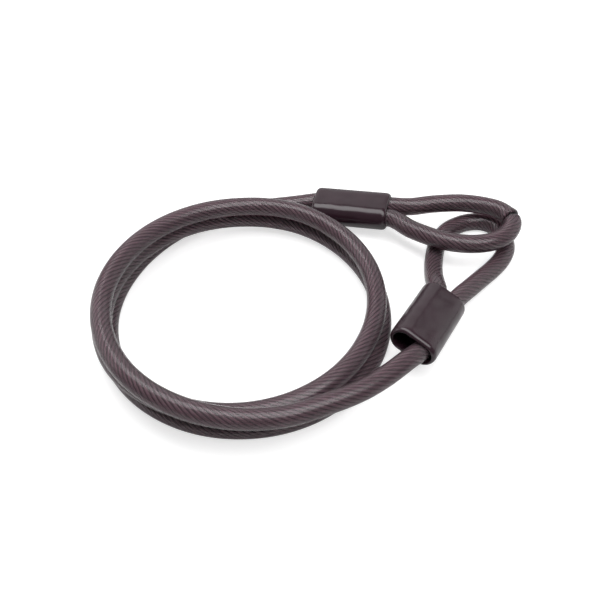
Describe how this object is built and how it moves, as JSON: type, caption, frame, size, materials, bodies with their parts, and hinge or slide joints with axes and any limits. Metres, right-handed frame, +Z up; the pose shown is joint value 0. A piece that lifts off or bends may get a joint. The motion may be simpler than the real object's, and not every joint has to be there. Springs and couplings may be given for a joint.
{
  "type": "looped security cable",
  "caption": "Coiled steel security cable in a smoked clear sheath, with a crimped eye and an oval cover at each end.",
  "frame": {"origin": "middle of the whole object's footprint, on the surface it lies on", "axes": "+Z up, away from the surface; +X from the coil towards the two eyes; +Y from the side the coil is seen from towards the far side"},
  "size_m": [0.2712, 0.2048, 0.0359],
  "materials": {
    "smoked_pvc": "smoked clear PVC, glossy, with the twisted steel showing through",
    "wire_rope_steel": "galvanised steel wire rope",
    "ferrule_aluminium": "pressed aluminium, satin",
    "black_vinyl": "moulded charcoal black vinyl, semi-gloss"
  },
  "bodies": {
    "root": {"coil_sheath": "smoked_pvc", "eye_a_sheath": "smoked_pvc", "eye_b_sheath": "smoked_pvc", "wire_rope": "wire_rope_steel", "ferrule_a": "ferrule_aluminium", "ferrule_b": "ferrule_aluminium", "cover_a": "black_vinyl", "cover_b": "black_vinyl"}
  },
  "joints": []
}
